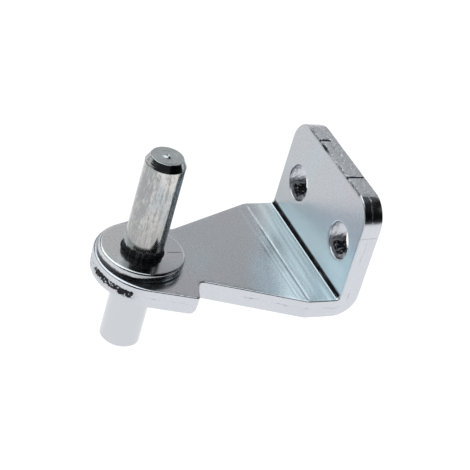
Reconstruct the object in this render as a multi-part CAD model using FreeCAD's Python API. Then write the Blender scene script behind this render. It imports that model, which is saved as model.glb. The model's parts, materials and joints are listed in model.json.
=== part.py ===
"""Refrigerator door hinge: a bent steel bracket with a pressed-in pin and a loose washer.

The bracket is punched from flat strip and bent once. A round lug holds the pin, with a
square-ended nose on each side of it that stops the open door. The arm flares out to the
flange, whose two holes take the screws into the cabinet. The pin stands out above and below
the plate, so the same hinge can carry one door on top and locate another underneath.

Frame, in millimetres: the origin is on the pin's axis at the top of the washer, which is
where the door sits. +Z runs up the pin and +X runs from the pin to the flange.
"""
import FreeCAD, Part
import math
import os

from FreeCAD import Vector

# Sheet and bend
sheet_thickness = 3.0
bend_inner_radius = 0.6
edge_roll_radius = 0.4            # rolled-over edge that the punch leaves on its entry side

# Lug round the pin, with its two door stops
lug_radius = 8.5
lug_centre_offset = 1.7           # the lug's round is centred this far from the pin, flange side
stop_edge_angle = 18.5            # degrees that each stop edge leans out from the arm's axis
stop_edge_length = 6.8            # from where it leaves the lug's round to the nose's corner
nose_corner_radius = 0.5
stop_root_radius = 1.1

# Arm
arm_flare_angle = 22.0            # degrees that each side of the arm leans out
kink_distance = 5.0               # from the flange's face back to where the sides turn parallel
kink_radius = 2.0

# Flange
pin_to_flange = 27.1              # pin axis to the flange's inner face
flange_width = 24.6
flange_height = 16.3              # above the arm's upper face
flange_corner_radius = 4.1
screw_hole_diameter = 5.5
screw_hole_spacing = 14.5
screw_hole_height = 7.15          # above the arm's upper face
hole_roll_radius = 0.25

# Pin
pin_diameter = 6.0
pin_above_washer = 16.1
pin_below_plate = 11.5
root_step = 0.2                   # on the radius: thicker root, pressed into the lug
lead_in_depth = 0.62              # taken off the radius at the upper end
lead_in_length = 1.1
foot_chamfer = 0.35
pip_diameter = 1.1                # low centre pip left by the parting tool
pip_height = 0.1

# Washer
washer_diameter = 12.7
washer_thickness = 1.5
washer_bore_clearance = 0.1       # on the radius, round the pin's root
washer_top_round = 0.45
washer_foot_round = 0.2

# Levels that follow from the sizes
arm_top = -washer_thickness
arm_bottom = arm_top - sheet_thickness
flange_top = arm_top + flange_height
flange_outer = pin_to_flange + sheet_thickness
hole_level = arm_top + screw_hole_height
pin_radius = pin_diameter / 2
root_radius = pin_radius + root_step
lug_tip = lug_centre_offset - lug_radius
overcut = 1.0                     # how far a cutting tool runs past what it cuts


def line_crossing(start, along, other_start, other_along):
    """Point where two lines of the plan meet, each given by a point and a direction."""
    gap = other_start - start
    turn = along.x * other_along.y - along.y * other_along.x
    reach = (gap.x * other_along.y - gap.y * other_along.x) / turn
    return start + along * reach


def rounded_path(corners):
    """Edges through a list of (point, radius), with an arc of that radius at each inner corner."""
    edges = []
    here = corners[0][0]
    for (before, _), (corner, radius), (after, _) in zip(corners, corners[1:], corners[2:]):
        to_before = (before - corner).normalize()
        to_after = (after - corner).normalize()
        half_angle = to_before.getAngle(to_after) / 2
        setback = radius / math.tan(half_angle)
        if radius == 0:
            edges.append(Part.makeLine(here, corner))
            here = corner
            continue
        arc_start = corner + to_before * setback
        arc_end = corner + to_after * setback
        bisector = (to_before + to_after).normalize()
        arc_middle = corner + bisector * (radius / math.sin(half_angle) - radius)
        edges.append(Part.makeLine(here, arc_start))
        edges.append(Part.Arc(arc_start, arc_middle, arc_end).toShape())
        here = arc_end
    edges.append(Part.makeLine(here, corners[-1][0]))
    return edges


def mirrored(point):
    """The same point on the other side of the arm's axis."""
    return Vector(point.x, -point.y, point.z)


def bracket_plan():
    """Face of the bracket's outline as seen along the pin."""
    lean = math.radians(stop_edge_angle)
    flare = math.radians(arm_flare_angle)
    lug_centre = Vector(lug_centre_offset, 0, 0)
    leave_lug = lug_centre + Vector(-math.sin(lean), math.cos(lean), 0) * lug_radius
    stop_edge = Vector(math.cos(lean), math.sin(lean), 0)
    nose_end = Vector(math.sin(lean), -math.cos(lean), 0)
    nose = leave_lug + stop_edge * stop_edge_length
    kink = Vector(pin_to_flange - kink_distance, flange_width / 2, 0)
    arm_side = Vector(math.cos(flare), math.sin(flare), 0)
    stop_root = line_crossing(nose, nose_end, kink, arm_side)
    end_corner = Vector(flange_outer + overcut, flange_width / 2, 0)
    side = [
        (leave_lug, 0),
        (nose, nose_corner_radius),
        (stop_root, stop_root_radius),
        (kink, kink_radius),
        (end_corner, 0),
    ]
    other_side = [(mirrored(point), radius) for point, radius in reversed(side)]
    edges = rounded_path(side + other_side)
    lug_front = Vector(lug_tip, 0, 0)
    edges.append(Part.Arc(mirrored(leave_lug), lug_front, leave_lug).toShape())
    return Part.Face(Part.Wire(Part.__sortEdges__(edges)))


def bent_strip():
    """Strip of the full flange width, bent up once, with square edges."""
    bend_centre = Vector(pin_to_flange - bend_inner_radius, 0, arm_top + bend_inner_radius)
    bend_outer_radius = bend_inner_radius + sheet_thickness
    tail = lug_tip - overcut

    def at(x, z):
        return Vector(x, 0, z)

    def bend_arc(radius):
        diagonal = radius / math.sqrt(2)
        return Part.Arc(
            at(bend_centre.x, bend_centre.z - radius),
            at(bend_centre.x + diagonal, bend_centre.z - diagonal),
            at(bend_centre.x + radius, bend_centre.z),
        ).toShape()

    section = [
        Part.makeLine(at(tail, arm_top), at(bend_centre.x, arm_top)),
        bend_arc(bend_inner_radius),
        Part.makeLine(at(pin_to_flange, bend_centre.z), at(pin_to_flange, flange_top)),
        Part.makeLine(at(pin_to_flange, flange_top), at(flange_outer, flange_top)),
        Part.makeLine(at(flange_outer, flange_top), at(flange_outer, bend_centre.z)),
        bend_arc(bend_outer_radius),
        Part.makeLine(at(bend_centre.x, arm_bottom), at(tail, arm_bottom)),
        Part.makeLine(at(tail, arm_bottom), at(tail, arm_top)),
    ]
    face = Part.Face(Part.Wire(Part.__sortEdges__(section)))
    face.translate(Vector(0, -flange_width / 2, 0))
    return face.extrude(Vector(0, flange_width, 0))


def flange_elevation():
    """Face of the flange's outline, seen along the arm and placed behind the lug."""
    tail = lug_tip - overcut
    half = flange_width / 2
    foot = arm_bottom - overcut
    corners = [
        (Vector(tail, half, foot), 0),
        (Vector(tail, half, flange_top), flange_corner_radius),
        (Vector(tail, -half, flange_top), flange_corner_radius),
        (Vector(tail, -half, foot), 0),
    ]
    edges = rounded_path(corners)
    edges.append(Part.makeLine(corners[-1][0], corners[0][0]))
    return Part.Face(Part.Wire(Part.__sortEdges__(edges)))


def on_punch_side(face):
    """Whether a face is the arm's upper face, the inside of the bend or the flange's inner face."""
    box = face.BoundBox
    flat = 1e-4
    if isinstance(face.Surface, Part.Cylinder):
        return box.YLength > flange_width - flat and face.Surface.Radius < sheet_thickness
    is_arm_top = box.ZLength < flat and abs(box.ZMin - arm_top) < flat
    is_flange_inside = box.XLength < flat and abs(box.XMin - pin_to_flange) < flat
    return is_arm_top or is_flange_inside


def roll_edges(shape, radius):
    """Round every edge where the punch entered the sheet."""
    rolled = []
    for edge in shape.Edges:
        sides = shape.ancestorsOfType(edge, Part.Face)
        entered = [on_punch_side(face) for face in sides]
        if any(entered) and not all(entered):
            rolled.append(edge)
    return shape.makeFillet(radius, rolled)


def make_bracket():
    """Bracket: the bent strip trimmed to its two outlines, then rolled and pierced."""
    rise = Vector(0, 0, flange_top - arm_bottom + 2 * overcut)
    plan = bracket_plan()
    plan.translate(Vector(0, 0, arm_bottom - overcut))
    run = Vector(flange_outer - lug_tip + 2 * overcut, 0, 0)
    blank = bent_strip().common(plan.extrude(rise)).common(flange_elevation().extrude(run))
    blank = roll_edges(blank.Solids[0], edge_roll_radius)
    for side in (-1, 1):
        centre = Vector(pin_to_flange - overcut, side * screw_hole_spacing / 2, hole_level)
        blank = blank.cut(
            Part.makeCylinder(
                screw_hole_diameter / 2, sheet_thickness + 2 * overcut, centre, Vector(1, 0, 0)
            )
        )
    blank = roll_hole_mouths(blank)
    bore_foot = Vector(0, 0, arm_bottom - overcut)
    bore = Part.makeCylinder(root_radius, sheet_thickness + 2 * overcut, bore_foot)
    return blank.cut(bore).Solids[0]


def roll_hole_mouths(shape):
    """Round the screw holes where the punch entered them, on the flange's inner face."""
    mouths = []
    for edge in shape.Edges:
        round_edge = isinstance(edge.Curve, Part.Circle)
        if not round_edge or abs(edge.Curve.Radius - screw_hole_diameter / 2) > 1e-4:
            continue
        if abs(edge.Curve.Center.x - pin_to_flange) < 1e-4:
            mouths.append(edge)
    return shape.makeFillet(hole_roll_radius, mouths)


def revolve_profile(points):
    """Solid turned round the pin's axis from (radius, height) points."""
    outline = [Vector(radius, 0, height) for radius, height in points]
    face = Part.Face(Part.makePolygon(outline + outline[:1]))
    return face.revolve(Vector(0, 0, 0), Vector(0, 0, 1), 360)


def make_hinge_pin():
    """Turned pin: its thicker root is pressed into the lug and ends level with the washer."""
    top = pin_above_washer
    foot = arm_bottom - pin_below_plate
    return revolve_profile([
        (0, foot),
        (pin_radius - foot_chamfer, foot),
        (pin_radius, foot + foot_chamfer),
        (pin_radius, arm_bottom),
        (root_radius, arm_bottom),
        (root_radius, 0),
        (pin_radius, 0),
        (pin_radius, top - lead_in_length),
        (pin_radius - lead_in_depth, top),
        (pip_diameter / 2, top),
        (0, top + pip_height),
    ])


def make_washer():
    """Flat washer with softened rims, loose on the pin."""
    outer = washer_diameter / 2
    ring = Part.makeCylinder(outer, washer_thickness, Vector(0, 0, arm_top))
    rims = {
        0.0: washer_top_round,
        arm_top: washer_foot_round,
    }
    for level, radius in rims.items():
        rim = [
            edge for edge in ring.Edges
            if isinstance(edge.Curve, Part.Circle) and abs(edge.Curve.Center.z - level) < 1e-6
        ]
        ring = ring.makeFillet(radius, rim)
    bore_radius = root_radius + washer_bore_clearance
    bore = Part.makeCylinder(
        bore_radius, washer_thickness + 2 * overcut, Vector(0, 0, arm_top - overcut)
    )
    return ring.cut(bore).Solids[0]


def main():
    os.makedirs("parts", exist_ok=True)
    pieces = {
        "bracket": make_bracket(),
        "hinge_pin": make_hinge_pin(),
        "washer": make_washer(),
    }
    for node, shape in pieces.items():
        shape.exportStep(f"parts/{node}.step")


main()
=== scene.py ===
"""Looks of the refrigerator door hinge: its zinc-plated bracket, turned pin and washer.

Every piece is built in metres in the frame's own space. The bracket is made as the press makes
it: a flat blank with rolled, burnished and torn edges, which is then bent up once.
"""

import json
import math

import bpy
import numpy as np
from bpy.props import FloatProperty, FloatVectorProperty, IntProperty, PointerProperty
from mathutils import Matrix, Vector, geometry, noise


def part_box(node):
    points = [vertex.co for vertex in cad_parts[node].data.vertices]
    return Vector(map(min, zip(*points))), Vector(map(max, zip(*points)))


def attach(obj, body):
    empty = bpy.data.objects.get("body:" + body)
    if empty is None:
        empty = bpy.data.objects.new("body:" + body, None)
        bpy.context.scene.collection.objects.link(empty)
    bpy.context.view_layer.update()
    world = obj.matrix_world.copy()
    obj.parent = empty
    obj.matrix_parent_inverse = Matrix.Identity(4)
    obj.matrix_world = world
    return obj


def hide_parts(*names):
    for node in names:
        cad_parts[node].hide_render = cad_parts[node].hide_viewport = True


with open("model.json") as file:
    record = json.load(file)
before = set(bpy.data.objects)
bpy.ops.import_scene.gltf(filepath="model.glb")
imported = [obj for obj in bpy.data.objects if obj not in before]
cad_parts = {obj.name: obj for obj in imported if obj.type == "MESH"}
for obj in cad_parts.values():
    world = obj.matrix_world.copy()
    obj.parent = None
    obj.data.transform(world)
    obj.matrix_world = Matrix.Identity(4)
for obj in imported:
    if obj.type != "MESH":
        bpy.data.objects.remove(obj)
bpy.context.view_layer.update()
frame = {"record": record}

bl_info = {
    "name": "Refrigerator door hinge",
    "version": (1, 0, 0),
    "blender": (4, 5, 0),
    "location": "View3D > Sidebar > Door Hinge",
    "description": "Builds a zinc-plated door hinge with its pin and washer, and a plain stage",
    "category": "Object",
}

MM = 0.001
BRACKET_LOW, BRACKET_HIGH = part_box("bracket")
PIN_LOW, PIN_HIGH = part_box("hinge_pin")
WASHER_LOW, WASHER_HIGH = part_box("washer")
BEND_RADIUS = 0.6 * MM
MOUNTS = {mount["name"]: mount for mount in frame["record"]["mounts"]}
SCREWS = MOUNTS["screw_holes"]
ARM_TOP = WASHER_LOW.z
SHEET = ARM_TOP - BRACKET_LOW.z
HALF_WIDTH = (BRACKET_HIGH.y - BRACKET_LOW.y) / 2
BEND_START = BRACKET_HIGH.x - SHEET - BEND_RADIUS
BEND_RUN = math.pi / 2 * (BEND_RADIUS + SHEET / 2)
BEND_END = BEND_START + BEND_RUN

# The bending tool's two marks: the way back from the bend, the gap, and the second's share
MARK_PLACE, MARK_GAP, SECOND_MARK = 4.3 * MM, 1.5 * MM, 0.4

# Cut edges: steps down the wall, setback of the torn metal, the bore's roll, a hole's smooth share
ROLL_STEPS, BURNISH_STEPS, TEAR_STEPS = 6, 6, 20
TORN_SETBACK, BORE_ROLL, HOLE_BURNISH = 0.05 * MM, 0.05 * MM, 0.16

# Angles in radians past which an edge of the sheet, or of a turned piece, looks sharp
SHARP_SHEET, SHARP_TURNED = 0.7, 0.5

PIP_HEIGHT = 0.1 * MM
WHITE = (1.0, 1.0, 1.0)
GRAIN_DEPTH, SWELL_DEPTH = 0.006 * MM, 0.03 * MM

# Level directions from the pin: to the arm, which is right in the photo, and away from the viewer
ARM_SIDE, FAR_SIDE = (0.84, -0.54, 0.0), (0.54, 0.84, 0.0)


def blank_place(height):
    """Where a height on the flange lies along the flat blank, from the pin's axis."""
    return BEND_END + height - ARM_TOP - BEND_RADIUS


FLANGE_END = blank_place(BRACKET_HIGH.z)


def length(name, description, millimetres):
    """A size in metres that the sidebar shows as a length."""
    return FloatProperty(
        name=name, description=description, default=millimetres * MM, min=0.0, precision=5,
        subtype="DISTANCE", unit="LENGTH",
    )


def colour(name, description, default):
    """A plain colour, in linear values."""
    return FloatVectorProperty(
        name=name, description=description, default=default, size=3, min=0.0, max=1.0,
        subtype="COLOR",
    )


def degrees(name, description, value):
    """An angle that the sidebar shows in degrees."""
    return FloatProperty(
        name=name, description=description, default=math.radians(value), subtype="ANGLE",
        unit="ROTATION",
    )


def share(name, description, default):
    """A plain number from nought to one."""
    return FloatProperty(name=name, description=description, default=default, min=0.0, max=1.0)


class BracketSizes(bpy.types.PropertyGroup):
    lug_radius: length("Lug radius", "Round end of the lug", 8.5)
    stop_angle: degrees("Stop angle", "How far each stop edge leans out from the arm's axis", 18.5)
    stop_length: length("Stop length", "From the lug's round to the nose's corner", 6.8)
    nose_radius: length("Nose radius", "Rounding of the nose's corner", 0.5)
    root_radius: length("Root radius", "Rounding where the nose meets the arm", 1.1)
    flare_angle: degrees("Flare angle", "How far each side of the arm leans out", 22.0)
    kink_distance: length("Kink distance", "From the flange back to the parallel sides", 5.0)
    kink_radius: length("Kink radius", "Rounding where the sides turn parallel", 2.0)
    corner_radius: length("Corner radius", "The flange's two upper corners", 4.1)
    edge_roll: length("Edge roll", "Rounding that the punch leaves on its side", 0.4)
    arm_roll: share("Arm roll", "Share of that rounding along the arm and flange", 0.5)
    hole_roll: length("Hole roll", "The same at the mouth of a screw hole", 0.25)
    burnish: share("Burnish", "Smooth share of the cut, before the metal tears", 0.42)
    tear_wander: length("Tear wander", "How far the torn line wanders up and down", 0.16)
    tear_relief: length("Tear relief", "Height of the torn metal's grain", 0.09)
    mark_depth: length("Mark depth", "Depth of the bending tool's mark", 0.045)
    mark_width: length("Mark width", "Half its width", 0.20)
    mark_zone: length("Mark zone", "Finely meshed part of the arm", 6.6)
    mark_step: length("Mark step", "Spacing of the points there", 0.1)
    fine_step: length("Fine step", "Spacing of the points along a cut edge", 0.12)
    face_step: length("Face step", "Spacing of the points on a flat face", 0.7)


class PinSizes(bpy.types.PropertyGroup):
    lead_in_depth: length("Lead-in depth", "Taken off the radius at the top", 0.62)
    lead_in_length: length("Lead-in length", "Height of the lead-in's cone", 1.1)
    edge_break: length("Edge break", "Softened edges of the lead-in", 0.11)
    foot_chamfer: length("Foot chamfer", "Chamfer of the lower end", 0.35)
    pip_radius: length("Pip radius", "Centre pip left by the parting tool", 0.55)
    sides: IntProperty(name="Sides", description="Points round the pin", default=192, min=32)


class WasherSizes(bpy.types.PropertyGroup):
    top_round: length("Top round", "Rounding of the upper rim", 0.36)
    foot_round: length("Foot round", "Rounding of the lower rim", 0.2)
    bore_clearance: length("Bore clearance", "Round the pin's root, on the radius", 0.04)
    bore_round: length("Bore round", "Rounding of the bore's mouth", 0.02)
    sides: IntProperty(name="Sides", description="Points round the washer", default=240, min=32)


class FinishColours(bpy.types.PropertyGroup):
    zinc: colour("Zinc", "Bright zinc plating", (0.50, 0.533, 0.565))
    zinc_blue: colour("Blue zinc", "Where the film looks blue", (0.51, 0.61, 0.66))
    # Painted light: the lighter tone of the washer's left and far side
    lit_side_zinc: colour("Bright zinc", "The washer's least rubbed side", (0.62, 0.64, 0.65))
    zinc_mauve: colour("Mauve zinc", "Where it looks faintly purple", (0.52, 0.52, 0.56))
    # Also the tone of painted shade above the bend and on the washer
    dull_and_shade_zinc: colour("Dull zinc", "Plating over rough metal", (0.36, 0.375, 0.39))
    cut_zinc: colour("Cut zinc", "The smooth part of a cut", (0.64, 0.665, 0.705))
    # Painted highlight: the pale tone of the sheen by the bend and of the washer's rim line and
    # foot band
    painted_highlight_zinc: colour("Pale zinc", "Where the bending tool rubbed", (0.84, 0.97, 1.0))
    # Painted shade in the hollow of the bend
    crease_shade_zinc: colour("Crease zinc", "The dull hollow of the bend", (0.005, 0.005, 0.006))
    # Also the dark tone of painted shade and reflections at the flange's corners, the washer's wall
    # and the pin
    pits_and_shade_zinc: colour("Torn zinc", "Pits in torn metal", (0.03, 0.03, 0.035))
    steel: colour("Steel", "The pin, where the door has worn it", (0.64, 0.63, 0.615))
    # Also the tone of the painted shade on the pin's left side
    dark_steel: colour("Dark steel", "Dull streaks along the worn pin", (0.33, 0.335, 0.34))
    warm_steel: colour("Warm steel", "Warm streaks along the pin", (0.62, 0.575, 0.545))
    cool_steel: colour("Cool steel", "Cool streaks along the pin", (0.47, 0.505, 0.525))
    # Painted shade: the dark, bluish tone of the pin's side towards the arm
    shaded_steel: colour("Blue steel", "The side by the arm, that no door rubs", (0.10, 0.13, 0.165))
    end_steel: colour("End steel", "The pin's turned end", (0.42, 0.465, 0.48))
    # Darker and warmer towards the pin's foot
    low_steel: colour("Low steel", "The worn pin near its foot", (0.40, 0.385, 0.36))
    clean_steel: colour("Clean steel", "The pin below the lug", (0.585, 0.605, 0.635))
    zinc_roughness: share("Zinc roughness", "Roughness of the plated faces", 0.23)
    steel_roughness: share("Steel roughness", "Roughness of the turned pin", 0.11)


class StageSizes(bpy.types.PropertyGroup):
    azimuth: degrees("Azimuth", "Camera's bearing, from looking along +Y", -32.4926)
    elevation: degrees("Elevation", "Camera's height above the horizon", 32.8083)
    roll: degrees("Roll", "Camera's turn about its own line of sight", 16.8031)
    distance: length("Distance", "Camera to the point that it looks at", 298.62)
    aim_right: length("Aim right", "That point, along the camera's level axis", 12.146)
    aim_up: length("Aim up", "That point, along the camera's upward axis", 5.709)
    lens: FloatProperty(name="Lens", description="Focal length in millimetres", default=159.334)
    floor_drop: length("Floor drop", "Floor below the pin's foot", 30.0)
    strength: FloatProperty(name="Strength", description="Studio's brightness", default=1.85)
    room: colour("Room", "The dark studio", (0.002, 0.002, 0.0025))
    fill: colour("Fill", "Weak light from the viewer's side", (0.025, 0.025, 0.026))
    haze: colour("Haze", "Soft light behind the hinge", (0.37, 0.368, 0.37))
    key: colour("Key", "The large soft light overhead", (0.94, 0.985, 1.0))
    card: colour("Card", "Grey card high on the right", (0.30, 0.30, 0.30))
    skyline: colour("Skyline", "Bright strip low behind, on the right", (0.80, 0.80, 0.80))
    ground: colour("Ground", "Below the horizon", (0.55, 0.55, 0.55))


def maths(operation):
    """A method of Socket that adds one Math node."""

    def method(self, *others):
        return self.finish.add("Math", dict(enumerate((self, *others))), operation=operation)

    return method


class Socket:
    """One output of a shader node. Sums on it add the Math nodes that they stand for."""

    __add__ = __radd__ = maths("ADD")
    __sub__ = maths("SUBTRACT")
    __mul__ = __rmul__ = maths("MULTIPLY")
    __pow__ = maths("POWER")
    size = maths("ABSOLUTE")
    at_most = maths("MINIMUM")

    def __init__(self, finish, output):
        self.finish = finish
        self.output = output

    def __rsub__(self, other):
        return self.finish.add("Math", {0: other, 1: self}, operation="SUBTRACT")

    def rise(self, low, high):
        """Nought below low, one above high and a smooth rise between them."""
        values = {"Value": self, "From Min": low, "From Max": high}
        return self.finish.add("MapRange", values, interpolation_type="SMOOTHSTEP", clamp=True)

    def fall(self, low, high):
        """One below low, nought above high and a smooth fall between them."""
        return 1 - self.rise(low, high)

    def band(self, rising, falling):
        """One between a rise and a fall, each given by its two ends."""
        return self.rise(*rising) * self.fall(*falling)

    def near(self, middle, width):
        """One at middle, falling smoothly to nought a width away."""
        return (self - middle).size().fall(0.0, width)


class Finish:
    """A node tree, with one method that adds any node."""

    def __init__(self, tree):
        self.tree = tree
        self.tree.nodes.clear()
        self.place = None

    def add(self, kind, values=None, output=0, **settings):
        """Adds a node, sets its settings and then its sockets, and returns one output."""
        node = self.tree.nodes.new("ShaderNode" + kind)
        for name, value in settings.items():
            setattr(node, name, value)
        for name, value in (values or {}).items():
            socket = node.inputs[name]
            if isinstance(value, Socket):
                self.tree.links.new(value.output, socket)
            elif hasattr(value, "__len__") and len(value) == 3 and len(socket.default_value) == 4:
                socket.default_value = (*value, 1.0)
            else:
                socket.default_value = value
        return Socket(self, node.outputs[output]) if node.outputs else None

    def outputs(self, kind, names, values=None):
        """Several outputs of one new node."""
        node = self.add(kind, values).output.node
        return [Socket(self, node.outputs[name]) for name in names]

    def carried(self, name, output="Fac"):
        """What the mesh carries at each point, as a number or a vector."""
        return self.add("Attribute", None, output, attribute_name=name)

    def stand(self, place):
        """Keeps the place that the noise reads, and returns it and its axes in millimetres."""
        self.place = place
        spot = self.add("VectorMath", {0: place, 1: (1 / MM,) * 3}, operation="MULTIPLY")
        return spot, *self.outputs("SeparateXYZ", "XYZ", {"Vector": spot})

    def toward(self, vector, direction):
        """How far a vector reaches in a direction."""
        values = {0: vector, 1: tuple(direction)}
        return self.add("VectorMath", values, "Value", operation="DOT_PRODUCT")

    def grain(self, scale, detail=2.0, roughness=0.5, distortion=0.0, squeeze=None):
        """Soft noise from nought to one, drawn out along each axis whose squeeze is small."""
        vector = self.place
        if squeeze:
            vector = self.add("VectorMath", {0: vector, 1: squeeze}, operation="MULTIPLY")
        values = {"Vector": vector, "Scale": scale, "Detail": detail, "Roughness": roughness,
                  "Distortion": distortion}
        return self.add("TexNoise", values)

    def rings(self, radius, scale, detail):
        """Soft noise that changes only with the radius."""
        values = {"W": radius * scale, "Scale": 1.0, "Detail": detail}
        return self.add("TexNoise", values, noise_dimensions="1D")

    def layered(self, tint, layers):
        """A colour with others laid over it in turn, each by its share."""
        for covered, other in layers:
            tint = self.add("Mix", {0: covered, 6: tint, 7: other}, 2, data_type="RGBA")
        return tint

    def bump(self, height, distance, strength, under=None):
        """A normal bent by a height, over any normal that is given."""
        values = {"Height": height, "Distance": distance, "Strength": strength}
        if under is not None:
            values["Normal"] = under
        return self.add("Bump", values)

    def metal(self, tint, roughness, relief, swell=None):
        """The metal surface, with its fine relief over any soft swell, and its output."""
        normal = self.bump(relief, GRAIN_DEPTH, 0.6, under=swell)
        values = {"Base Color": tint, "Metallic": 1.0, "Roughness": roughness, "Normal": normal}
        surface = self.add("BsdfPrincipled", values)
        self.add("OutputMaterial", {"Surface": surface})


def new_material(name):
    material = bpy.data.materials.new(name)
    material.use_nodes = True
    return material, Finish(material.node_tree)


def plated_zinc(tones):
    """Bright zinc plating on the sheet: satin faces, burnished cuts and torn, pitted metal."""
    material, finish = new_material("plated_zinc")
    _, along, across, depth = finish.stand(finish.carried("flat_place", "Vector"))
    bend, run, end, half = (size / MM for size in (BEND_START, BEND_RUN, FLANGE_END, HALF_WIDTH))
    cut, torn = finish.carried("cut"), finish.carried("torn")
    face = 1 - cut
    top_cut = along.rise(end - 0.6, end - 0.3)
    cloud = finish.grain(160.0, 3.0)
    film = finish.grain(70.0, 2.0, distortion=0.4)

    # Blue film from the arm's end up the flange
    arm_edge = along - across * 0.4 + (cloud - 0.5) * 9
    flange_edge = along + across * 0.45 + (cloud - 0.5) * 6
    by_bend = arm_edge.rise(bend - 11, bend - 3) * flange_edge.fall(bend + 5, bend + 12)
    blue = by_bend * 0.7 + cloud.rise(0.45, 0.7) * 0.3

    # Painted sheen: the arm lightened in streaks towards the bend, where it is also rougher, and
    # the two lines that the bending tool pressed
    streaks = finish.grain(1100.0, 3.0, 0.6, squeeze=(1.0, 0.05, 1.0))
    rubbed = (along - across * 0.25 + cloud * 2.0).rise(bend - 6.0, bend - 2.5)
    rubbed = rubbed * along.fall(bend, bend + 0.5 * run)
    rubbed = rubbed * (streaks.rise(0.36, 0.62) * 0.6 + 0.4)
    mark = bend - MARK_PLACE / MM
    pressed = along.near(mark, 0.3) + along.near(mark - MARK_GAP / MM, 0.3) * SECOND_MARK

    # Painted shade: the flange darkened just above the bend, less towards its near edge, and the
    # hollow of the bend painted dark with faint streaks
    foot = along.rise(bend + 0.8 * run, bend + run) * along.fall(bend + 5, bend + 12)
    foot = foot * (1 - (film * 4 - across).rise(5, 11) * 0.85)
    crease_shade = along.rise(bend + 0.22 * run, bend + 0.34 * run)
    crease_shade = crease_shade * along.fall(bend + 0.98 * run, bend + 1.12 * run)
    crease_shade = crease_shade * depth.fall(0.4, 0.9) * across.size().fall(half - 0.5, half - 0.2)
    faint = finish.grain(2400.0, 3.0, 0.6, squeeze=(1.0, 0.16, 1.0))
    crease_shade = crease_shade * (1 - faint.rise(0.54, 0.72) * 0.22)

    # Painted dark reflection on the cut round the flange's upper corners, and the pits of torn
    # metal
    corner = along.rise(end - 3.1, end - 2.5) * cut * (1 - top_cut)
    corner = corner * across.size().rise(half - 3.7, half - 2.5)
    coarse_pits = finish.grain(3600.0, 3.0, 0.6, squeeze=(1.0, 1.0, 0.7))
    fine_pits = finish.grain(6400.0, 2.0, 0.6)
    pits = coarse_pits + (fine_pits - coarse_pits) * top_cut
    fine_grain = finish.grain(3300.0, 2.0, 0.6).rise(0.36, 0.64)
    tint = finish.layered(tones.zinc, [
        (film.rise(0.40, 0.66), tones.zinc_mauve),
        (blue, tones.zinc_blue),
        (rubbed, tones.painted_highlight_zinc),
        (cut, tones.cut_zinc),
        (pressed * face * 0.8, tones.cut_zinc),
        (foot * face * 0.52, tones.dull_and_shade_zinc),
        (torn.at_most(1.0) * top_cut * 0.6, tones.dull_and_shade_zinc),
        (fine_grain * (0.38 - cut * 0.30 - rubbed * 0.18), tones.dull_and_shade_zinc),
        (crease_shade, tones.crease_shade_zinc),
        (corner * 0.66, tones.pits_and_shade_zinc),
        ((torn - pits).rise(0.46, 0.52), tones.pits_and_shade_zinc),
    ])
    speck = finish.grain(5200.0, 2.0)
    roughness = (tones.zinc_roughness - 0.05) + cloud * 0.08 + speck * 0.05
    roughness = roughness + torn * 0.22 + rubbed * 0.09
    strokes = finish.grain(2600.0, 3.0, squeeze=(0.10, 1.0, 1.0))
    shear = finish.grain(4200.0, 3.0, squeeze=(1.0, 1.0, 0.08))
    relief = speck * 1.6 + strokes * face * 0.5 + shear * cut * 1.6
    relief = relief + pits * torn * (7.0 - top_cut * 4.0)
    finish.metal(tint, roughness, relief, swell=finish.bump(cloud, SWELL_DEPTH, 0.25))
    return material


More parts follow.
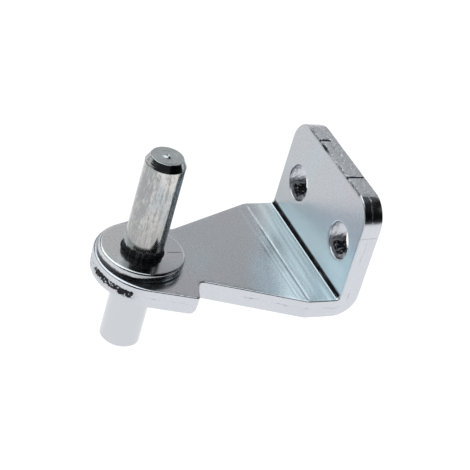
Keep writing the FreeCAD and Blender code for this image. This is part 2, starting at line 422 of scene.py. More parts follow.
def turned_steel(tones, lead_foot, lead_top):
    """The pin, whose lead-in has its foot and top at these (radius, height) points."""
    material, finish = new_material("turned_steel")
    spot, x, y, z = finish.stand(finish.add("TexCoord", output="Object"))
    radius = (x * x + y * y) ** 0.5

    def streaks(scale, detail, roughness, squeeze):
        return finish.grain(scale, detail, roughness, squeeze=(1.0, 1.0, squeeze))

    long_streaks = streaks(1500.0, 4.0, 0.6, 0.06)
    fine_streaks = streaks(5200.0, 2.0, 0.5, 0.03)
    patches = streaks(420.0, 3.0, 0.5, 0.45)
    scuffs = streaks(2800.0, 4.0, 0.7, 0.12)
    fine_grain = streaks(3000.0, 2.0, 0.6, 0.6)
    blots = streaks(620.0, 3.0, 0.6, 0.55)

    # Painted shade: the pin's left side darkened in soft blots, more so higher up. The rest of dull
    # is streaks and grain
    shaded_left_side = (y * 0.30 - x * 0.95).rise(0.3, 2.2)
    dull = shaded_left_side * (0.14 + blots.rise(0.40, 0.62) * 0.62) + scuffs.rise(0.48, 0.58) * 0.85
    dull = dull + shaded_left_side * z.rise(7.0, 11.5) * 0.34
    dull = dull + long_streaks.near(0.50, 0.035) * 0.45
    dull = dull + fine_grain.rise(0.42, 0.62) * 0.60 - 0.34
    to_arm = finish.toward(spot, ARM_SIDE)
    # Painted shade: the pin's side towards the arm darkened and tinted blue, in streaks, most near
    # its foot
    arm_side = to_arm.rise(2.35, 2.75) * (0.72 - z.rise(0.5, 8.0) * 0.58)
    body = finish.layered(tones.steel, [
        (patches.rise(0.42, 0.62), tones.cool_steel),
        (long_streaks.rise(0.50, 0.66), tones.warm_steel),
        # Darker and warmer towards the foot
        (z.fall(2.0, 11.0) * 0.7, tones.low_steel),
        (dull, tones.dark_steel),
        (arm_side * (1.2 - fine_streaks * 0.5).at_most(1.0), tones.shaded_steel),
    ])

    above_lug = z.rise(-2.0, 0.0)
    # Painted shade: a dark, rougher band on the pin just above the lug, where it meets the washer,
    # with a ragged upper edge
    base_shade = above_lug * (z + long_streaks * 1.4 + scuffs * 0.5).fall(1.95, 2.4)
    foot, inner = lead_foot[1] / MM, lead_top[0] / MM
    upper_end = z.rise(foot - 0.05, foot + 0.05)
    lead_in = z.rise(foot - 0.08, foot + 0.04) * radius.rise(inner, inner + 0.06)
    # Painted reflection on the lead-in: lighter on the side away from the arm and darker elsewhere,
    # with dark lines at its foot and streaks on the lighter side
    free_side = to_arm.fall(-2.3, -1.4)
    bright_side = lead_in * free_side
    painted_dark_lines = free_side * z.near(foot, 0.14) + bright_side * long_streaks.near(0.47, 0.05) * 0.7
    tint = finish.layered(tones.clean_steel, [
        (patches.rise(0.55, 0.75) * 0.2, tones.warm_steel),
        (above_lug, body),
        (base_shade * (1 - scuffs.rise(0.53, 0.63) * 0.26), tones.pits_and_shade_zinc),
        (upper_end * (0.8 - bright_side * 0.5), tones.end_steel),
        ((lead_in - bright_side) * 0.3, tones.pits_and_shade_zinc),
        (painted_dark_lines.at_most(1.0) * 0.7, tones.pits_and_shade_zinc),
    ])
    roughness = (tones.steel_roughness - 0.04) + long_streaks * 0.10 + patches * 0.05 + base_shade * 0.5
    turning = finish.rings(radius + z, 5.2, 2.0)
    relief = (fine_streaks * 0.8 + long_streaks * 1.2) * (1 - upper_end) + turning * upper_end * 5.0
    finish.metal(tint, roughness, relief)
    return material


def washer_zinc(tones):
    """Plating on the washer, rubbed round by the door, with painted light, shade and highlights."""
    material, finish = new_material("washer_zinc")
    spot, x, y, z = finish.stand(finish.add("TexCoord", output="Object"))
    radius = (x * x + y * y) ** 0.5
    rim = WASHER_HIGH.x / MM
    cloud = finish.grain(220.0, 3.0)
    dents = finish.grain(1100.0, 3.0, 0.6)
    speck = finish.grain(5200.0, 2.0)
    fine_grain = finish.grain(3400.0, 2.0).rise(0.34, 0.66)
    # Painted light: the washer lighter towards its left and far side
    painted_lit_side = (y * 0.55 - x * 0.84).rise(-3.5, 4.0)
    arm_side = finish.toward(spot, ARM_SIDE)
    far_side = finish.toward(spot, FAR_SIDE)
    # Painted shade: the washer darker towards the arm and the viewer, in soft patches
    painted_shade_near_arm = (cloud * 2.0 - far_side).rise(0.5, 5.5) * arm_side.rise(-1.5, 2.0)
    # Painted shade: the side wall darkened below its top round
    wall = radius.rise(rim - 0.12, rim - 0.06) * (z + dents * 0.5).fall(-0.72, -0.42)
    # Painted reflection of the arm: a light band low on the wall towards it
    painted_arm_reflection = z.near(-1.12, 0.34) * arm_side.rise(0.5, 2.6)
    # Painted highlight: a thin light line on the top round, on the far side towards the arm
    painted_rim_highlight = radius.near(rim - 0.19, 0.15)
    painted_rim_highlight = painted_rim_highlight * far_side.rise(-1.2, 0.6) * arm_side.rise(-1.0, 1.5)
    scratch = (y + x * 0.064 + 0.89).near(0.0, 0.13) * x.band((3.3, 3.7), (5.3, 5.9))
    tint = finish.layered(tones.zinc, [
        (cloud.rise(0.40, 0.66), tones.zinc_mauve),
        (painted_lit_side, tones.lit_side_zinc),
        (fine_grain * 0.34, tones.dull_and_shade_zinc),
        (painted_shade_near_arm * 0.75, tones.dull_and_shade_zinc),
        (wall * (1 - painted_arm_reflection) * 0.93, tones.pits_and_shade_zinc),
        (wall * painted_arm_reflection, tones.painted_highlight_zinc),
        (painted_rim_highlight, tones.painted_highlight_zinc),
        (scratch, tones.pits_and_shade_zinc),
    ])
    rubbed_round = finish.rings(radius, 4.2, 3.0)
    roughness = (tones.zinc_roughness - 0.12) + cloud * 0.07 + rubbed_round * 0.04
    relief = speck * 1.2 + rubbed_round * 0.5 + dents * 2.5
    finish.metal(tint, roughness, relief, swell=finish.bump(cloud, SWELL_DEPTH, 0.3))
    return material


def crossing(start, along, other_start, other_along):
    """Point where two lines of the blank meet."""
    gap = other_start - start
    turn = along.x * other_along.y - along.y * other_along.x
    return start + along * ((gap.x * other_along.y - gap.y * other_along.x) / turn)


class Loop:
    """A closed edge of the blank: its points, the way out of the metal and the run along it."""

    def __init__(self):
        self.points = []
        self.outward = []

    def line(self, start, end, step):
        span = end - start
        count = max(1, round(span.length / step))
        out = Vector((span.y, -span.x)).normalized()
        for index in range(count):
            self.points.append(start + span * (index / count))
            self.outward.append(out)

    def arc(self, centre, radius, first, last, step, inner=False):
        """Round stretch from one angle to another, turning clockwise where last is less."""
        count = max(4, round(abs(last - first) * radius / step))
        for index in range(count):
            angle = first + (last - first) * index / count
            spoke = Vector((math.cos(angle), math.sin(angle)))
            self.points.append(centre + spoke * radius)
            self.outward.append(-spoke if inner else spoke)

    def arrays(self):
        points, outward = np.array(self.points), np.array(self.outward)
        steps = np.linalg.norm(np.roll(points, -1, axis=0) - points, axis=1)
        run = np.concatenate([[0.0], np.cumsum(steps)[:-1]])
        return points, outward, run, steps.sum()


def lug_and_nose(sizes):
    """The lug's centre, where a stop edge leaves its round, and the nose, both at negative y."""
    lean = sizes.stop_angle
    centre = Vector((BRACKET_LOW.x + sizes.lug_radius, 0.0))
    leave = centre + Vector((-math.sin(lean), -math.cos(lean))) * sizes.lug_radius
    return centre, leave, leave + Vector((math.cos(lean), -math.sin(lean))) * sizes.stop_length


def bracket_outline(sizes):
    """The blank's outer edge, walked anticlockwise from where it leaves the lug's round."""
    step, lean, flare = sizes.fine_step, sizes.stop_angle, sizes.flare_angle
    lug_centre, leave, nose = lug_and_nose(sizes)
    kink = Vector((BRACKET_HIGH.x - SHEET - sizes.kink_distance, -HALF_WIDTH))
    root = crossing(
        nose, Vector((math.sin(lean), math.cos(lean))),
        kink, Vector((math.cos(flare), -math.sin(flare))),
    )
    end = Vector((FLANGE_END, -HALF_WIDTH))
    corners = [
        (leave, 0.0), (nose, sizes.nose_radius), (root, sizes.root_radius),
        (kink, sizes.kink_radius), (end, sizes.corner_radius),
    ]
    corners += [(Vector((point.x, -point.y)), radius) for point, radius in reversed(corners)]
    loop = Loop()
    here = corners[0][0]
    for (before, _), (corner, radius), (after, _) in zip(corners, corners[1:], corners[2:]):
        arrive, leave_way = (corner - before).normalized(), (after - corner).normalized()
        turn = math.atan2(arrive.x * leave_way.y - arrive.y * leave_way.x, arrive.dot(leave_way))
        setback = radius * math.tan(abs(turn) / 2)
        arc_start = corner - arrive * setback
        loop.line(here, arc_start, step)
        side = math.copysign(1.0, turn)
        centre = arc_start + Vector((-arrive.y, arrive.x)) * side * radius
        first = math.atan2(arc_start.y - centre.y, arc_start.x - centre.x)
        loop.arc(centre, radius, first, first + turn, min(step, radius * 0.12), inner=side < 0)
        here = corner + leave_way * setback
    loop.line(here, corners[-1][0], step)
    loop.arc(lug_centre, sizes.lug_radius, math.pi / 2 + lean, math.pi * 1.5 - lean, step)
    return loop


def round_hole(centre, radius, step):
    """A hole's edge, walked clockwise so that the way out of the metal points into the hole."""
    loop = Loop()
    loop.arc(Vector(centre), radius, 2 * math.pi, 0.0, step, inner=True)
    return loop


def wobble(point, size, salt=0.0):
    """Soft noise from minus one to one at a point, the same in every run."""
    return noise.noise(Vector((point[0] / size + salt, point[1] / size, point[2] / size)))


def wobbles(points, size, salt, depth=0.0):
    """The same at several points, all at one depth."""
    return np.array([wobble((*point, depth), size, salt) for point in points])


class Sheet:
    """The bracket's mesh: points of the flat blank, each with its cut and torn shares."""

    def __init__(self, sizes):
        self.sizes = sizes
        self.flat, self.cut, self.torn, self.faces = [], [], [], []

    def add_points(self, flat, cut, torn):
        first = len(self.flat)
        self.flat.extend(flat)
        self.cut.extend(cut)
        self.torn.extend(torn)
        return np.arange(first, first + len(flat))

    def in_space(self):
        """The blank bent up: each flat point (along, across, depth) in the frame's space."""
        along, across, depth = np.array(self.flat).T
        turn = np.clip((along - BEND_START) / BEND_RUN, 0.0, 1.0) * math.pi / 2
        past = np.maximum(along - BEND_START - BEND_RUN, 0.0)
        before = np.minimum(along - BEND_START, 0.0)
        x = BEND_START + (BEND_RADIUS + depth) * np.sin(turn) + before
        z = ARM_TOP + BEND_RADIUS - (BEND_RADIUS + depth) * np.cos(turn) + past
        return np.stack([x, across, z], axis=1)


def cut_rows():
    """Rows down a cut edge: the stage of the cut that each is in, and how far through it."""
    rows = [("roll", step / ROLL_STEPS) for step in range(ROLL_STEPS + 1)]
    rows += [("burnish", step / BURNISH_STEPS) for step in range(1, BURNISH_STEPS + 1)]
    return rows + [("tear", step / TEAR_STEPS) for step in range(1, TEAR_STEPS + 1)]


def nearest(points, place):
    """Index of the edge point nearest to a place on the blank."""
    return int(np.argmin(np.linalg.norm(points - np.array(place), axis=1)))


def notch_depth(notches, points, run, whole, depth):
    """How deep the tool's nicks cut at each point of one row."""
    cut_in = np.zeros(len(points))
    for place, deep, wide, reach in notches:
        gap = np.abs(run - run[nearest(points, place)])
        gap = np.minimum(gap, whole - gap)
        if depth.mean() < reach:
            cut_in = np.maximum(cut_in, deep * np.clip(1 - gap / wide, 0.0, 1.0))
    return cut_in


class EvenEdge:
    """A cut edge that is the same all round and isn't torn."""

    def __init__(self, roll_size, smooth_share):
        self.roll_size = roll_size
        self.smooth_share = smooth_share

    def roll(self, points):
        """How far the edge is rolled over at each point."""
        return np.full(len(points), self.roll_size)

    def smooth(self, points):
        """Share of the wall that is cut smooth."""
        return np.full(len(points), self.smooth_share)

    def tear(self, points, stage, done):
        """How hard the metal is torn, so far through a stage of the cut."""
        return np.zeros(len(points))

    def foot(self, points):
        """How far the broken lower edge draws in."""
        return np.zeros(len(points))


class HoleEdge(EvenEdge):
    """The edge of a screw hole, which tears low down on one side."""

    def __init__(self, sizes, centre, radius):
        super().__init__(sizes.hole_roll, HOLE_BURNISH)
        self.centre = centre
        self.radius = radius

    def tear(self, points, stage, done):
        along, across = self.centre
        low = np.clip((along - points[:, 0]) / self.radius - 0.50, 0.0, 0.1) / 0.1
        left = np.clip((points[:, 1] - across) / self.radius - 0.02, 0.0, 0.1) / 0.1
        hard = 1.05 * low * left * min(1.0, done * 9) * (stage == "tear")
        return np.maximum(hard, 0.4 * (stage != "roll"))


class OuterEdge(EvenEdge):
    """The blank's outer edge, which the punch rolled and tore hardest round the lug."""

    def __init__(self, sizes):
        super().__init__(sizes.edge_roll, sizes.burnish)
        self.arm_roll = sizes.arm_roll
        nose = lug_and_nose(sizes)[2]
        self.noses = [(nose.x, nose.y), (nose.x, -nose.y)]

    def lug_share(self, points):
        """One round the lug's free end, and nought from the stops on."""
        return np.clip((-1.2 * MM - points[:, 0]) / (2.2 * MM), 0.0, 1.0)

    def roll(self, points):
        return self.roll_size * (self.arm_roll + (1 - self.arm_roll) * self.lug_share(points))

    def smooth(self, points):
        return self.smooth_share * (1 - 0.21 * self.lug_share(points))

    def tear(self, points, stage, done):
        """The lug's round tears hard, the flange's top a little and the long cuts least."""
        patch = wobbles(points, 2.2 * MM, 3.0)
        lug = self.lug_share(points)
        top = np.clip((points[:, 0] - FLANGE_END + 0.10 * MM) / (0.06 * MM), 0.0, 1.0)
        if stage == "roll":
            return top * (0.99 + 0.3 * patch)
        if stage == "burnish":
            return np.maximum(top * 0.64, lug * (0.70 + 0.2 * patch))
        line = max(0.0, 1 - abs(done - 0.05) / 0.08) * np.clip(0.5 + 1.7 * patch, 0.0, 1.1)
        band = min(1.0, done * 12 + 0.3) * min(1.0, max(0.0, (0.80 - done) / 0.30))
        flecks = wobbles(points, 0.7 * MM, 11.0, done * SHEET)
        band = band * np.clip((0.8 * MM - points[:, 1]) / (1.2 * MM), 0.40, 1.0)
        band = band * np.clip((-2.3 * MM - points[:, 0]) / (1.7 * MM), 0.0, 1.0)
        hard = lug * (0.62 + band * (0.55 + 0.15 * patch + 0.26 * flecks))
        return np.maximum(hard + (1 - lug) * line, 0.66 * top)

    def foot(self, points):
        """Most at the corners of the door stops."""
        corners = np.array([nearest(points, place) for place in self.noses])
        spans = np.linalg.norm(points[:, None] - points[corners][None], axis=2).min(axis=1)
        return 0.08 * MM + 0.40 * MM * np.clip(1 - spans / (0.9 * MM), 0.0, 1.0)


def add_cut(sheet, loop, edge, notches=()):
    """The wall of a cut edge. Returns the rings where the sheet's two faces meet it."""
    sizes = sheet.sizes
    points, outward, run, whole = loop.arrays()
    roll = edge.roll(points)
    wander = wobbles(points, 1.3 * MM, 5.0) + 0.5 * wobbles(points, 0.4 * MM, 8.0)
    tear_line = edge.smooth(points) * SHEET + sizes.tear_wander * wander
    rings = []
    for stage, share_done in cut_rows():
        shift, cut = np.zeros(len(points)), 1.0
        if stage == "roll":
            angle, cut = math.pi / 2 * share_done, share_done
            shift, depth = roll * (math.sin(angle) - 1), roll * (1 - math.cos(angle))
        elif stage == "burnish":
            depth = roll + (tear_line - roll) * share_done
        else:
            depth = tear_line + (SHEET - tear_line) * share_done
            shift -= TORN_SETBACK * min(1.0, share_done * 8)
            shift -= edge.foot(points) * max(0.0, share_done - 0.4) ** 2 / 0.36
        weight = edge.tear(points, stage, share_done)
        for index in np.flatnonzero(weight > 0.02):
            place = (*points[index], depth[index])
            grain = wobble(place, 0.30 * MM) + 0.6 * wobble(place, 0.13 * MM, 7.0)
            shift[index] -= sizes.tear_relief * weight[index] * (0.5 + grain)
        shift = np.minimum(shift, 0.0)
        nick = notch_depth(notches, points, run, whole, depth)
        if share_done or stage != "roll":
            shift -= nick
            weight = np.maximum(weight, np.clip(nick / (0.06 * MM), 0.0, 1.4))
        flat = np.column_stack([points + outward * shift[:, None], depth])
        rings.append(sheet.add_points(flat, [cut] * len(flat), weight))
    for upper, lower in zip(rings, rings[1:]):
        after_upper, after_lower = np.roll(upper, -1), np.roll(lower, -1)
        sheet.faces.extend(zip(upper, lower, after_lower, after_upper))
    return rings[0], rings[-1]


def in_metal(points, rings):
    """Which points lie inside the outer ring and outside the holes."""
    return np.logical_xor.reduce([inside(points, ring) for ring in rings])


def inside(points, polygon):
    """Which points lie in a polygon, by the even-odd rule."""
    x, y = points.T[:, :, None]
    (x0, y0), (x1, y1) = polygon.T, np.roll(polygon, -1, axis=0).T
    crosses = (y0 > y) != (y1 > y)
    rise = np.where(y1 == y0, 1e-12, y1 - y0)
    return (crosses & (x < (x1 - x0) * (y - y0) / rise + x0)).sum(axis=1) % 2 == 1


def away_from(points, polygon, gap):
    """Which points lie further than gap from a polygon's points."""
    parts = [points[first:first + 2000] for first in range(0, len(points), 2000)]
    spans = [np.linalg.norm(part[:, None] - polygon, axis=2).min(axis=1) for part in parts]
    return np.concatenate(spans) > gap


def face_rows(sizes):
    """Places along the blank for the rows of points on its faces: close in the bend and marks."""
    stops = [BRACKET_LOW.x, BEND_START - sizes.mark_zone, BEND_START, BEND_END, FLANGE_END]
    steps = [sizes.face_step, sizes.mark_step, BEND_RUN / 24, sizes.face_step]
    rows = []
    for low, high, step in zip(stops, stops[1:], steps):
        count = max(1, round((high - low) / step))
        rows += [low + (high - low) * index / count for index in range(count)]
    return rows


def press_marks(sizes, along):
    """Depth of the faint lines that the bending tool pressed into the arm's upper face."""
    first = np.exp(-((along - BEND_START + MARK_PLACE) / sizes.mark_width) ** 2)
    second = np.exp(-((along - BEND_START + MARK_PLACE + MARK_GAP) / sizes.mark_width) ** 2)
    return sizes.mark_depth * (first + SECOND_MARK * second)


def add_face(sheet, depth, loops, marked):
    """One broad face of the blank, filled between the rings of its cut edges."""
    sizes = sheet.sizes
    rings = [np.array([sheet.flat[index][:2] for index in ring]) for ring in loops]
    count = round(2 * HALF_WIDTH / sizes.face_step) + 1
    columns = np.linspace(-HALF_WIDTH, HALF_WIDTH, count)
    grid = np.meshgrid(face_rows(sizes), columns, indexing="ij")
    grid = np.stack(grid, axis=-1).reshape(-1, 2)
    clear = away_from(grid, np.concatenate(rings), 0.35 * sizes.face_step)
    grid = grid[in_metal(grid, rings) & clear]
    dip = press_marks(sizes, grid[:, 0]) if marked else np.zeros(len(grid))
    flat = [(point[0], point[1], depth + low) for point, low in zip(grid, dip)]
    filled = sheet.add_points(flat, [0.0] * len(flat), [0.0] * len(flat))
    indices = np.concatenate([*loops, filled])
    places = np.concatenate([*rings, grid]) / MM
    edges, first = [], 0
    for ring in loops:
        count = len(ring)
        edges += [(first + index, first + (index + 1) % count) for index in range(count)]
        first += count
    made = geometry.delaunay_2d_cdt([Vector(place) for place in places], edges, [], 0, 1e-7)
    source = [origins[0] if origins else -1 for origins in made[3]]
    triangles = np.array([[source[corner] for corner in face] for face in made[2]])
    centres = places[triangles].mean(axis=1) * MM
    triangles = triangles[in_metal(centres, rings) & (triangles.min(axis=1) >= 0)]
    a, b, c = (places[triangles[:, index]] for index in range(3))
    area = (b - a)[:, 0] * (c - a)[:, 1] - (b - a)[:, 1] * (c - a)[:, 0]
    flip = (area < 0) == (depth < SHEET / 2)
    triangles[flip] = triangles[flip][:, ::-1]
    sheet.faces.extend(tuple(indices[corner] for corner in triangle) for triangle in triangles)


def mesh_object(name, vertices, faces, material, sharp_angle):
    """A smooth-shaded object with its sharp edges marked."""
    mesh = bpy.data.meshes.new(name)
    mesh.from_pydata([tuple(map(float, vertex)) for vertex in vertices], [], [
        tuple(int(corner) for corner in face) for face in faces
    ])
    mesh.validate()
    mesh.materials.append(material)
    for polygon in mesh.polygons:
        polygon.use_smooth = True
    mesh.set_sharp_from_angle(angle=sharp_angle)
    made = bpy.data.objects.new(name, mesh)
    bpy.context.scene.collection.objects.link(made)
    return made


def carry(piece, name, values):
    """Writes a number or a vector for each point of a mesh, which its material reads."""
    values = np.asarray(values, np.float32)
    kind, field = ("FLOAT_VECTOR", "vector") if values.ndim == 2 else ("FLOAT", "value")
    attribute = piece.data.attributes.new(name, kind, "POINT")
    attribute.data.foreach_set(field, values.ravel())


def stand_for(piece, node):
    """The piece takes a frame node's place: the node's part is hidden and the piece hangs from the
    root body.
    """
    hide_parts(node)
    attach(piece, "root")


def turned(name, profile, sides, material):
    """A piece turned about the pin's axis from (radius, height) points, from its foot outward."""
    vertices, faces, rings = [], [], []
    for radius, height in profile:
        if radius == 0:
            rings.append([len(vertices)] * sides)
            vertices.append((0.0, 0.0, height))
            continue
        rings.append(list(range(len(vertices), len(vertices) + sides)))
        for side in range(sides):
            angle = 2 * math.pi * side / sides
            vertices.append((radius * math.cos(angle), radius * math.sin(angle), height))
    pairs = list(zip(rings, rings[1:]))
    if profile[0][0] and profile[-1][0]:
        pairs.append((rings[-1], rings[0]))
    for lower, upper in pairs:
        for side in range(sides):
            after = (side + 1) % sides
            corners = [lower[side], lower[after], upper[after], upper[side]]
            faces.append(list(dict.fromkeys(corners)))
    return mesh_object(name, vertices, faces, material, SHARP_TURNED)


def rounded(start, corner, end, radius, steps=5):
    """Points that round the corner of a (radius, height) profile."""
    start, corner, end = Vector(start), Vector(corner), Vector(end)
    to_start, to_end = (start - corner).normalized(), (end - corner).normalized()
    half = to_start.angle(to_end) / 2
    setback = radius / math.tan(half)
    centre = corner + (to_start + to_end).normalized() * (radius / math.sin(half))
    first, last = corner + to_start * setback - centre, corner + to_end * setback - centre
    sweep = first.angle_signed(last)
    turned_points = []
    for step in range(steps + 1):
        spoke = first.copy()
        spoke.rotate(Matrix.Rotation(-sweep * step / steps, 2))
        turned_points.append(tuple(centre + spoke))
    return turned_points


def settings():
    """The hinge's sizes and finishes, as the sidebar shows them."""
    return bpy.context.scene.door_hinge


class HINGE_OT_bracket(bpy.types.Operator):
    """Builds the bracket: the cut blank, bent up once"""

    bl_idname = "hinge.bracket"
    bl_label = "Bracket"

    def execute(self, context):
        sizes = settings().bracket
        sheet = Sheet(sizes)
        side_mark = blank_place(9.5 * MM)

        # The tool's nicks: each one's place, depth and width, and how far down the cut it reaches
        notches = [
            ((FLANGE_END, 5.2 * MM), 0.19 * MM, 0.30 * MM, 1.9 * MM),
            ((FLANGE_END, -4.4 * MM), 0.18 * MM, 0.20 * MM, SHEET),
            ((side_mark, HALF_WIDTH), 0.05 * MM, 0.13 * MM, SHEET),
            ((side_mark, -HALF_WIDTH), 0.05 * MM, 0.13 * MM, SHEET),
        ]
        bore = round_hole((0.0, 0.0), PIN_HIGH.x, 2 * sizes.fine_step)
        cuts = [
            (bracket_outline(sizes), OuterEdge(sizes), notches),
            (bore, EvenEdge(BORE_ROLL, sizes.burnish)),
        ]
        hole_along = blank_place(SCREWS["pos_m"][2])
        hole_side = SCREWS["dims"]["spacing_x_mm"] * MM / 2
        hole_radius = SCREWS["dims"]["hole_r_mm"] * MM
        for centre in ((hole_along, -hole_side), (hole_along, hole_side)):
            hole = round_hole(centre, hole_radius, sizes.fine_step)
            cuts.append((hole, HoleEdge(sizes, centre, hole_radius)))
        upper, lower = zip(*(add_cut(sheet, *cut) for cut in cuts))
        add_face(sheet, 0.0, upper, marked=True)
        add_face(sheet, SHEET, lower, marked=False)
        material = plated_zinc(settings().finish)
        piece = mesh_object("dressed_bracket", sheet.in_space(), sheet.faces, material,
                            SHARP_SHEET)
        carry(piece, "flat_place", sheet.flat)
        carry(piece, "cut", sheet.cut)
        carry(piece, "torn", sheet.torn)
        stand_for(piece, "bracket")
        return {"FINISHED"}


class HINGE_OT_pin(bpy.types.Operator):
    """Builds the turned pin"""

    bl_idname = "hinge.pin"
    bl_label = "Pin"

    def execute(self, context):
        sizes = settings().pin
        root = PIN_HIGH.x
        body = MOUNTS["upper_pin"]["dims"]["r_mm"] * MM
        top, foot, under = PIN_HIGH.z - PIP_HEIGHT, PIN_LOW.z, BRACKET_LOW.z
        lead_foot = (body, top - sizes.lead_in_length)
        lead_top = (body - sizes.lead_in_depth, top)
        pip = sizes.pip_radius
        heights = [foot + sizes.foot_chamfer + (under - foot) * 0.1 * step for step in range(9)]
        profile = [(0.0, foot), (body - sizes.foot_chamfer, foot)]
        profile += [(body, height) for height in heights]
        profile += [(body, under), (root, under), (root, 0.0), (body, 0.0)]
        profile += [(body, lead_foot[1] * step / 16) for step in range(1, 16)]
        profile += rounded((body, 0.0), lead_foot, lead_top, sizes.edge_break)
        profile += rounded(lead_foot, lead_top, (pip, top), sizes.edge_break)

        # Two rings on the end face, then the pip and the small crater in it
        profile += [(1.6 * MM, top), (1.0 * MM, top), (pip, top)]
        profile += [(pip * 0.8, top + 0.04 * MM), (pip * 0.5, PIN_HIGH.z)]
        profile += [(pip * 0.3, top + 0.07 * MM), (0.0, top + 0.02 * MM)]
        material = turned_steel(settings().finish, lead_foot, lead_top)
        piece = turned("dressed_pin", profile, sizes.sides, material)
        stand_for(piece, "hinge_pin")
        return {"FINISHED"}


class HINGE_OT_washer(bpy.types.Operator):
    """Builds the washer that the door sits on"""

    bl_idname = "hinge.washer"
    bl_label = "Washer"

    def execute(self, context):
        sizes = settings().washer
        rim = (WASHER_HIGH.x - WASHER_LOW.x) / 2
        bore = PIN_HIGH.x + sizes.bore_clearance
        top, foot = WASHER_HIGH.z, WASHER_LOW.z
        profile = rounded((bore, foot), (rim, foot), (rim, top), sizes.foot_round)
        profile += rounded((rim, foot), (rim, top), (bore, top), sizes.top_round, steps=8)
        profile += [(rim + (bore - rim) * step / 5, top) for step in range(1, 5)]
        profile += rounded((rim, top), (bore, top), (bore, foot), sizes.bore_round)
        profile += [(bore, foot)]
        piece = turned("dressed_washer", profile, sizes.sides, washer_zinc(settings().finish))
        stand_for(piece, "washer")
        return {"FINISHED"}


def studio_axes(sizes):
    """Unit vectors from the hinge: level to the right, level away from the camera, and up."""
    right = Vector((math.cos(sizes.azimuth), math.sin(sizes.azimuth), 0.0))
    away = Vector((-math.sin(sizes.azimuth), math.cos(sizes.azimuth), 0.0))
    return right, away, Vector((0.0, 0.0, 1.0))


def make_world(sizes):
    """White where the camera looks. The metal sees a dark studio over a pale ground instead."""
    world = bpy.data.worlds.new("studio")
    bpy.context.scene.world = world
    world.use_nodes = True
    finish = Finish(world.node_tree)
    look = finish.add("TexCoord", output="Generated")
    side, back, height = (finish.toward(look, way) for way in studio_axes(sizes))

    # The key's four sides lie along axes turned about 24 degrees from the camera's
    over, along = side * 0.910 + back * 0.414, back * 0.910 - side * 0.414
    key = (height * 0.32 - over).rise(0.0, 0.06) * (height * 1.55 + over).rise(0.0, 0.05)
    key = key * (height * 0.45 + along).rise(0.0, 0.10) * (height * 1.6 - along).rise(0.0, 0.06)

    haze = height.band((0.0, 0.10), (0.60, 0.70)) * back.rise(0.15, 0.50)
    haze = haze * side.size().fall(0.30, 0.62)
    fill = height.band((0.02, 0.12), (0.50, 0.62)) * back.fall(-0.35, 0.30) * side.fall(0.45, 0.62)
    card = height.band((0.40, 0.46), (0.62, 0.70)) * side.rise(0.70, 0.76) * back.rise(-0.05, 0.10)
    skyline = back.rise(0.35, 0.50) * side.rise(0.36, 0.44) * height.fall(0.16, 0.22)
    ground = (height - side.fall(-0.78, -0.50) * 0.26).fall(-0.02, 0.03)
    tone = finish.layered(sizes.room, [
        (fill, sizes.fill),
        (haze, sizes.haze),
        (key, sizes.key),
        (card, sizes.card),
        (skyline, sizes.skyline),
        (ground, sizes.ground),
    ])
    rays = finish.add("LightPath", output="Is Camera Ray")
    studio = finish.add("Background", {"Color": tone, "Strength": sizes.strength})
    white = finish.add("Background", {"Color": WHITE, "Strength": 1.0})
    seen = finish.add("MixShader", {0: rays, 1: studio, 2: white})
    finish.add("OutputWorld", {"Surface": seen})


def make_floor(sizes):
    """A pale floor that looks white to the camera and in the metal, and keeps the shadow."""
    reach, level = 4.0, PIN_LOW.z - sizes.floor_drop
    corners = [(x * reach, y * reach, level) for x, y in ((-1, -1), (1, -1), (1, 1), (-1, 1))]
    material, finish = new_material("pale_floor")
    names = ("Is Camera Ray", "Is Glossy Ray", "Is Transmission Ray")
    seen = sum(finish.outputs("LightPath", names)).at_most(1.0)
    paint = finish.add("BsdfDiffuse", {"Color": (0.82, 0.82, 0.83)})
    glow = finish.add("Emission", {"Color": WHITE, "Strength": 1.2})
    both = finish.add("MixShader", {0: seen * 0.80, 1: paint, 2: glow})
    finish.add("OutputMaterial", {"Surface": both})
    floor = mesh_object("floor", corners, [(0, 1, 2, 3)], material, SHARP_TURNED)


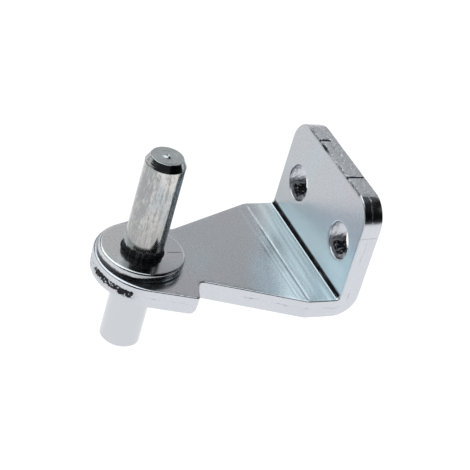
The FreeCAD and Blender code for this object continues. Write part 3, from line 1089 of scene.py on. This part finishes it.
def make_camera(sizes):
    """The photograph's viewpoint, with its turn about the line of sight."""
    right, away, up = studio_axes(sizes)
    back = up * math.sin(sizes.elevation) - away * math.cos(sizes.elevation)
    above = back.cross(right)
    aim = right * sizes.aim_right + above * sizes.aim_up
    turned_right = right * math.cos(sizes.roll) + above * math.sin(sizes.roll)
    turned_up = above * math.cos(sizes.roll) - right * math.sin(sizes.roll)
    camera = bpy.data.objects.new("camera", bpy.data.cameras.new("camera"))
    camera.data.lens = sizes.lens
    camera.data.clip_start, camera.data.clip_end = 0.01, 20.0
    axes = Matrix((turned_right, turned_up, back)).transposed().to_4x4()
    camera.matrix_world = Matrix.Translation(aim + back * sizes.distance) @ axes
    bpy.context.scene.collection.objects.link(camera)
    bpy.context.scene.camera = camera


class HINGE_OT_stage(bpy.types.Operator):
    """Sets the floor, the light and the camera"""

    bl_idname = "hinge.stage"
    bl_label = "Stage"

    def execute(self, context):
        sizes = settings().stage
        make_world(sizes)
        make_floor(sizes)
        make_camera(sizes)
        context.scene.view_settings.view_transform = "Standard"
        return {"FINISHED"}


class DoorHinge(bpy.types.PropertyGroup):
    bracket: PointerProperty(type=BracketSizes, name="Bracket", description="Bent bracket")
    pin: PointerProperty(type=PinSizes, name="Pin", description="Turned pin")
    washer: PointerProperty(type=WasherSizes, name="Washer", description="Washer under the door")
    finish: PointerProperty(type=FinishColours, name="Finish", description="Plating and steel")
    stage: PointerProperty(type=StageSizes, name="Stage", description="Camera, floor and light")


class HINGE_PT_panel(bpy.types.Panel):
    bl_label = "Door Hinge"
    bl_idname = "HINGE_PT_panel"
    bl_space_type = "VIEW_3D"
    bl_region_type = "UI"
    bl_category = "Door Hinge"

    def draw(self, context):
        layout = self.layout
        for operator in OPERATORS:
            layout.operator(operator.bl_idname)
        for name in ("bracket", "pin", "washer", "finish", "stage"):
            group = getattr(settings(), name)
            box = layout.box()
            box.label(text=name.capitalize())
            for value in group.bl_rna.properties:
                if value.identifier not in ("name", "rna_type"):
                    box.prop(group, value.identifier)


OPERATORS = (HINGE_OT_bracket, HINGE_OT_pin, HINGE_OT_washer, HINGE_OT_stage)
CLASSES = (
    BracketSizes, PinSizes, WasherSizes, FinishColours, StageSizes, DoorHinge,
    *OPERATORS, HINGE_PT_panel,
)


def register():
    for item in CLASSES:
        bpy.utils.register_class(item)
    bpy.types.Scene.door_hinge = PointerProperty(type=DoorHinge)


def unregister():
    del bpy.types.Scene.door_hinge
    for item in reversed(CLASSES):
        bpy.utils.unregister_class(item)


def main():
    register()
    bpy.ops.hinge.bracket()
    bpy.ops.hinge.pin()
    bpy.ops.hinge.washer()
    bpy.ops.hinge.stage()


if __name__ == "__main__":
    main()
